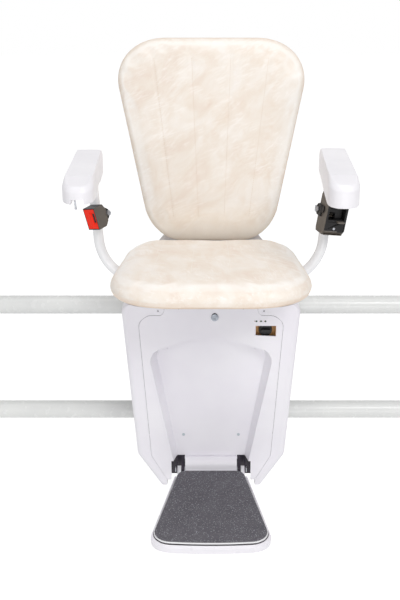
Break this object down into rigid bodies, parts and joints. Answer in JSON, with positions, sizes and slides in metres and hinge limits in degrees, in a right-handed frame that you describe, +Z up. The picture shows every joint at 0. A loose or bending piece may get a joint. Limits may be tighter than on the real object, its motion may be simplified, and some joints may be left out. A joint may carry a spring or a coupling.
{
  "type": "stairlift chair",
  "caption": "Stairlift chair with folding seat, armrests and footrest on a powered carriage, riding on a wall-mounted section of twin-tube rail with rack drive.",
  "frame": {"origin": "centre of the four wall bolts, on the wall face of the two rail brackets", "axes": "+X along the rail, +Y into the wall, +Z up; the chair faces -Y"},
  "size_m": [1.37, 0.737, 1.0826],
  "materials": {
    "rail_paint": "satin grey-white powder coat",
    "steel": "zinc-plated steel",
    "chassis_steel": "black powder-coated steel",
    "gear_metal": "cast housing",
    "roller_rubber": "polyurethane tread",
    "cover_plastic": "fine-grained moulded plastic, white with a trace of lilac",
    "white_paint": "gloss white powder coat",
    "board": "circuit board",
    "battery_case": "black moulded case",
    "switch_tan": "tan switch plate",
    "black_plastic": "black moulded plastic",
    "lamp_red": "lamp lens",
    "grip_mat": "speckled charcoal grip surface",
    "vinyl": "cream marbled vinyl",
    "button_red": "red press button",
    "buffer_rubber": "rubber buffer"
  },
  "bodies": {
    "rail": {"upper_rail_tube": "rail_paint", "lower_rail_tube": "rail_paint", "gear_rack": "steel", "wall_bracket_left": "rail_paint", "wall_bracket_right": "rail_paint"},
    "carriage": {"chassis_plate": "chassis_steel", "roller_axles": "steel", "guide_roller_forks": "steel", "gearbox": "gear_metal", "drive_motor": "gear_metal", "battery_left": "battery_case", "battery_right": "battery_case", "control_board": "board", "post_bracket": "chassis_steel", "seat_post": "chassis_steel", "swivel_bearing": "steel", "front_cover": "cover_plastic", "side_cover_left": "cover_plastic", "side_cover_right": "cover_plastic", "cover_screws": "steel", "key_lock": "steel", "switch_plate": "switch_tan", "indicator_lamps": "lamp_red", "footrest_hangers": "white_paint", "footrest_hinge_pins": "steel"},
    "load_roller_left": {"load_roller_left": "roller_rubber"},
    "load_roller_right": {"load_roller_right": "roller_rubber"},
    "keeper_roller_left": {"keeper_roller_left": "roller_rubber"},
    "keeper_roller_right": {"keeper_roller_right": "roller_rubber"},
    "guide_roller_left": {"guide_roller_left": "roller_rubber"},
    "guide_roller_right": {"guide_roller_right": "roller_rubber"},
    "drive_pinion": {"drive_pinion": "steel"},
    "key_cylinder": {"key_cylinder": "steel"},
    "switch_knob": {"switch_knob": "black_plastic"},
    "footrest": {"footrest_plate": "white_paint", "footrest_mat": "grip_mat"},
    "safety_pan": {"safety_pan": "cover_plastic"},
    "chair": {"swivel_hub": "chassis_steel", "seat_frame": "chassis_steel", "back_bracket": "white_paint", "backrest_shell": "cover_plastic", "backrest_cushion": "vinyl", "arm_tube_left": "white_paint", "arm_tube_right": "white_paint", "seat_hinge_ears": "steel", "seat_hinge_pins": "steel", "seat_buffers": "buffer_rubber", "armrest_pins": "steel", "buckle_housing": "black_plastic", "belt_anchors": "steel", "belt_reel": "black_plastic", "belt_spool": "steel", "belt_tongue": "black_plastic"},
    "swivel_lever": {"swivel_lever": "black_plastic"},
    "seat": {"seat_pan": "cover_plastic", "seat_cushion": "vinyl"},
    "armrest_left": {"armrest_left": "cover_plastic"},
    "armrest_right": {"armrest_right": "cover_plastic"},
    "toggle_lever": {"toggle_lever": "steel"},
    "buckle_button": {"buckle_button": "button_red"}
  },
  "joints": [
    {"name": "carriage_travel", "type": "slide", "parent": "rail", "child": "carriage", "axis": [1, 0, 0], "range_m": [-0.37, 0.37]},
    {"name": "pinion_spin", "type": "hinge", "parent": "carriage", "child": "drive_pinion", "pos_m": [0, -0.16, -0.1855], "axis": [0, 1, 0], "continuous": true},
    {"name": "load_roller_left_spin", "type": "hinge", "parent": "carriage", "child": "load_roller_left", "pos_m": [-0.11, -0.19, 0.19395], "axis": [0, 1, 0], "continuous": true},
    {"name": "load_roller_right_spin", "type": "hinge", "parent": "carriage", "child": "load_roller_right", "pos_m": [0.11, -0.19, 0.19395], "axis": [0, 1, 0], "continuous": true},
    {"name": "keeper_roller_left_spin", "type": "hinge", "parent": "carriage", "child": "keeper_roller_left", "pos_m": [-0.11, -0.19, 0.11305], "axis": [0, 1, 0], "continuous": true},
    {"name": "keeper_roller_right_spin", "type": "hinge", "parent": "carriage", "child": "keeper_roller_right", "pos_m": [0.11, -0.19, 0.11305], "axis": [0, 1, 0], "continuous": true},
    {"name": "guide_roller_left_spin", "type": "hinge", "parent": "carriage", "child": "guide_roller_left", "pos_m": [-0.11, -0.22695, -0.1535], "axis": [0, 0, 1], "continuous": true},
    {"name": "guide_roller_right_spin", "type": "hinge", "parent": "carriage", "child": "guide_roller_right", "pos_m": [0.11, -0.22695, -0.1535], "axis": [0, 0, 1], "continuous": true},
    {"name": "key_turn", "type": "hinge", "parent": "carriage", "child": "key_cylinder", "pos_m": [0.009, -0.393, 0.201], "axis": [0, 1, 0], "range_deg": [0, 90]},
    {"name": "power_switch_turn", "type": "hinge", "parent": "carriage", "child": "switch_knob", "pos_m": [0.132, -0.385, 0.1655], "axis": [0, 1, 0], "range_deg": [0, 90]},
    {"name": "footrest_fold", "type": "hinge", "parent": "carriage", "child": "footrest", "pos_m": [0, -0.39, -0.222], "axis": [-1, 0, 0], "range_deg": [0, 88]},
    {"name": "safety_pan_tilt", "type": "hinge", "parent": "footrest", "child": "safety_pan", "pos_m": [0, -0.39, -0.222], "axis": [-1, 0, 0], "range_deg": [0, 1.2], "stiffness_Nm_per_rad": 20, "springref_deg": -2.86},
    {"name": "chair_swivel", "type": "hinge", "parent": "carriage", "child": "chair", "pos_m": [0, -0.31, 0.26], "axis": [0, 0, 1], "range_deg": [-70, 70]},
    {"name": "swivel_lever_lift", "type": "hinge", "parent": "chair", "child": "swivel_lever", "pos_m": [0.053, -0.354, 0.2638], "axis": [0, -1, 0], "range_deg": [0, 6], "stiffness_Nm_per_rad": 2, "springref_deg": -5.73},
    {"name": "seat_fold", "type": "hinge", "parent": "chair", "child": "seat", "pos_m": [0, -0.262, 0.294], "axis": [-1, 0, 0], "range_deg": [0, 78]},
    {"name": "armrest_left_fold", "type": "hinge", "parent": "chair", "child": "armrest_left", "pos_m": [-0.284, -0.31, 0.557], "axis": [-0.9978, 0, -0.0663], "range_deg": [0, 90]},
    {"name": "armrest_right_fold", "type": "hinge", "parent": "chair", "child": "armrest_right", "pos_m": [0.284, -0.31, 0.557], "axis": [-0.9978, 0, 0.0663], "range_deg": [0, 90]},
    {"name": "toggle_rock", "type": "hinge", "parent": "armrest_left", "child": "toggle_lever", "pos_m": [-0.28418, -0.594, 0.55964], "axis": [0, 1, 0], "range_deg": [-12, 12], "stiffness_Nm_per_rad": 0.05},
    {"name": "buckle_press", "type": "slide", "parent": "chair", "child": "buckle_button", "axis": [0.5621, 0.809, 0.1719], "range_m": [0, 0.0035], "stiffness_N_per_m": 400, "springref_m": -0.002}
  ],
  "couplings": [
    {"joint": "pinion_spin", "follows": "carriage_travel", "rad_per_m": -35.714},
    {"joint": "load_roller_left_spin", "follows": "carriage_travel", "rad_per_m": 61.35},
    {"joint": "load_roller_right_spin", "follows": "carriage_travel", "rad_per_m": 61.35},
    {"joint": "keeper_roller_left_spin", "follows": "carriage_travel", "rad_per_m": -61.35},
    {"joint": "keeper_roller_right_spin", "follows": "carriage_travel", "rad_per_m": -61.35},
    {"joint": "guide_roller_left_spin", "follows": "carriage_travel", "rad_per_m": 78.125},
    {"joint": "guide_roller_right_spin", "follows": "carriage_travel", "rad_per_m": 78.125}
  ]
}
